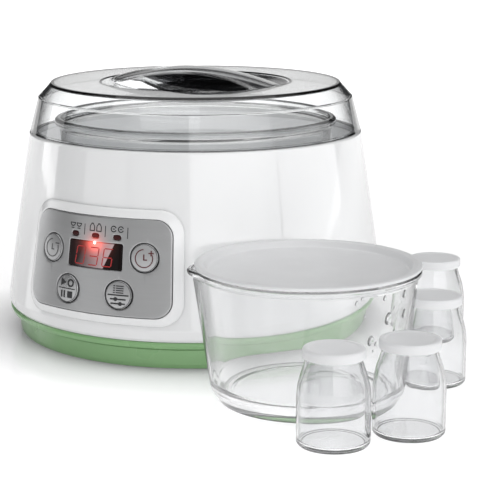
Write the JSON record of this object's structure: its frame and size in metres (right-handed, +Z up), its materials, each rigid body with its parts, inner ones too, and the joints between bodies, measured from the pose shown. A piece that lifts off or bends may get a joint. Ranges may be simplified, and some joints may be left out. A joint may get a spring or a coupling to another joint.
{
  "type": "yogurt maker",
  "caption": "Round electric yogurt maker with a tapered body, curved control panel and clear lid, a glass bowl seated inside, a covered serving bowl and small capped jars.",
  "frame": {"origin": "on the table, at the centre of the whole set's footprint", "axes": "+Z up; the control panel faces -Y; the serving bowl and jars stand on the +X side, towards -Y"},
  "size_m": [0.3496, 0.3164, 0.166],
  "materials": {
    "white_shell": "glossy white moulded polypropylene",
    "green_tray": "semi-gloss pastel green moulded plastic",
    "rubber": "matt dark grey rubber",
    "liner": "satin light grey moulded liner",
    "aluminium": "plain stamped aluminium",
    "steel": "bright zinc plated steel",
    "mica": "matt silicone and mica heater tape",
    "felt": "matt compressed fibre insulation board",
    "ceramic": "matt off-white ceramic tube",
    "board": "green circuit board with solder mask",
    "dark_plastic": "black moulded plastic",
    "relay_blue": "blue relay case",
    "capacitor": "dark sleeve",
    "copper": "enamelled copper winding on an iron core",
    "bezel": "glossy pale grey-white moulded frame",
    "silver_plate": "silver painted, fine brushed look",
    "display": "dark red-black gloss lens over red digits",
    "lamp": "red translucent lens, the middle one lit",
    "button": "silver painted cap with a dark printed mark",
    "clear_plastic": "clear polished acrylic",
    "glass": "clear colourless glass",
    "frosted": "translucent frosted soft plastic"
  },
  "bodies": {
    "unit": {"base_tray": "green_tray", "outer_housing": "white_shell", "heating_chamber": "liner", "heater_plate": "aluminium", "heating_element": "mica", "insulation_disc": "felt", "temperature_sensor": "aluminium", "sensor_clip": "steel", "thermal_fuse": "ceramic", "power_board": "board", "transformer": "copper", "relay": "relay_blue", "capacitor": "capacitor", "control_board": "board", "display_module": "dark_plastic", "buzzer": "dark_plastic", "power_inlet": "dark_plastic", "inlet_pin_left": "steel", "inlet_pin_right": "steel", "panel_bezel": "bezel", "panel_plate": "silver_plate", "display_window": "display", "foot_1": "rubber", "housing_screw_1": "steel", "tact_switch_1": "dark_plastic", "foot_2": "rubber", "housing_screw_2": "steel", "tact_switch_2": "dark_plastic", "foot_3": "rubber", "housing_screw_3": "steel", "tact_switch_3": "dark_plastic", "foot_4": "rubber", "housing_screw_4": "steel", "tact_switch_4": "dark_plastic", "lamp_lens_1": "lamp", "lamp_lens_2": "lamp", "lamp_lens_3": "lamp"},
    "lid": {"clear_lid": "clear_plastic"},
    "bowl_inside": {"seated_bowl": "glass"},
    "bowl_outside": {"serving_bowl": "glass"},
    "cover": {"bowl_cover": "frosted"},
    "time_minus_key": {"time_minus_button": "button"},
    "time_plus_key": {"time_plus_button": "button"},
    "start_key": {"start_button": "button"},
    "function_key": {"function_button": "button"},
    "small_jar_1": {"jar_1": "glass"},
    "small_cap_1": {"jar_cap_1": "frosted"},
    "small_jar_2": {"jar_2": "glass"},
    "small_cap_2": {"jar_cap_2": "frosted"},
    "small_jar_3": {"jar_3": "glass"},
    "small_cap_3": {"jar_cap_3": "frosted"},
    "small_jar_4": {"jar_4": "glass"},
    "small_cap_4": {"jar_cap_4": "frosted"}
  },
  "joints": [
    {"name": "lid_lift", "type": "slide", "parent": "unit", "child": "lid", "axis": [0, 0, 1], "range_m": [0, 0.16]},
    {"name": "inner_bowl_lift", "type": "slide", "parent": "unit", "child": "bowl_inside", "axis": [0, 0, 1], "range_m": [0, 0.11]},
    {"name": "time_minus_press", "type": "slide", "parent": "unit", "child": "time_minus_key", "axis": [0.2675, 0.9516, -0.1516], "range_m": [0, 0.001], "stiffness_N_per_m": 800},
    {"name": "time_plus_press", "type": "slide", "parent": "unit", "child": "time_plus_key", "axis": [-0.2675, 0.9516, -0.1516], "range_m": [0, 0.001], "stiffness_N_per_m": 800},
    {"name": "start_press", "type": "slide", "parent": "unit", "child": "start_key", "axis": [0.1461, 0.9776, -0.1516], "range_m": [0, 0.001], "stiffness_N_per_m": 800},
    {"name": "function_press", "type": "slide", "parent": "unit", "child": "function_key", "axis": [-0.1461, 0.9776, -0.1516], "range_m": [0, 0.001], "stiffness_N_per_m": 800},
    {"name": "serving_bowl_lift", "type": "slide", "parent": "unit", "child": "bowl_outside", "axis": [0, 0, 1], "range_m": [0, 0.09]},
    {"name": "cover_lift", "type": "slide", "parent": "bowl_outside", "child": "cover", "axis": [0, 0, 1], "range_m": [0, 0.05]},
    {"name": "jar_1_lift", "type": "slide", "parent": "unit", "child": "small_jar_1", "axis": [0, 0, 1], "range_m": [0, 0.03]},
    {"name": "cap_1_lift", "type": "slide", "parent": "small_jar_1", "child": "small_cap_1", "axis": [0, 0, 1], "range_m": [0, 0.03]},
    {"name": "jar_2_lift", "type": "slide", "parent": "unit", "child": "small_jar_2", "axis": [0, 0, 1], "range_m": [0, 0.03]},
    {"name": "cap_2_lift", "type": "slide", "parent": "small_jar_2", "child": "small_cap_2", "axis": [0, 0, 1], "range_m": [0, 0.03]},
    {"name": "jar_3_lift", "type": "slide", "parent": "unit", "child": "small_jar_3", "axis": [0, 0, 1], "range_m": [0, 0.03]},
    {"name": "cap_3_lift", "type": "slide", "parent": "small_jar_3", "child": "small_cap_3", "axis": [0, 0, 1], "range_m": [0, 0.03]},
    {"name": "jar_4_lift", "type": "slide", "parent": "unit", "child": "small_jar_4", "axis": [0, 0, 1], "range_m": [0, 0.03]},
    {"name": "cap_4_lift", "type": "slide", "parent": "small_jar_4", "child": "small_cap_4", "axis": [0, 0, 1], "range_m": [0, 0.03]}
  ],
  "couplings": [
    {"joint": "inner_bowl_lift", "follows": "lid_lift", "ratio": 0.6875}
  ]
}
